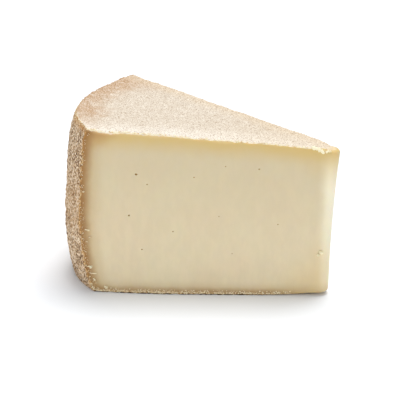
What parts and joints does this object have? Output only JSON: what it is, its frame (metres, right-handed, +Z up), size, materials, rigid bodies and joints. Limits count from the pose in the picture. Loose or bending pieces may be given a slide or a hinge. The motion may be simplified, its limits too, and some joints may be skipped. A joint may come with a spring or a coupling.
{
  "type": "aged goat gouda cheese wedge",
  "caption": "Wedge of hard aged goat cheese with a floury rind on top, a pitted rind heel, two smooth cut faces and a blunt tip.",
  "frame": {"origin": "middle of the footprint's box, on the surface that the wedge stands on", "axes": "+X from the rind heel to the tip, -Y out of the near cut face, +Z up"},
  "size_m": [0.1446, 0.1028, 0.0908],
  "materials": {
    "cheese": "dense pale paste with a soft waxy sheen, and a dry floury rind"
  },
  "bodies": {
    "root": {"cheese_wedge": "cheese"}
  },
  "joints": []
}
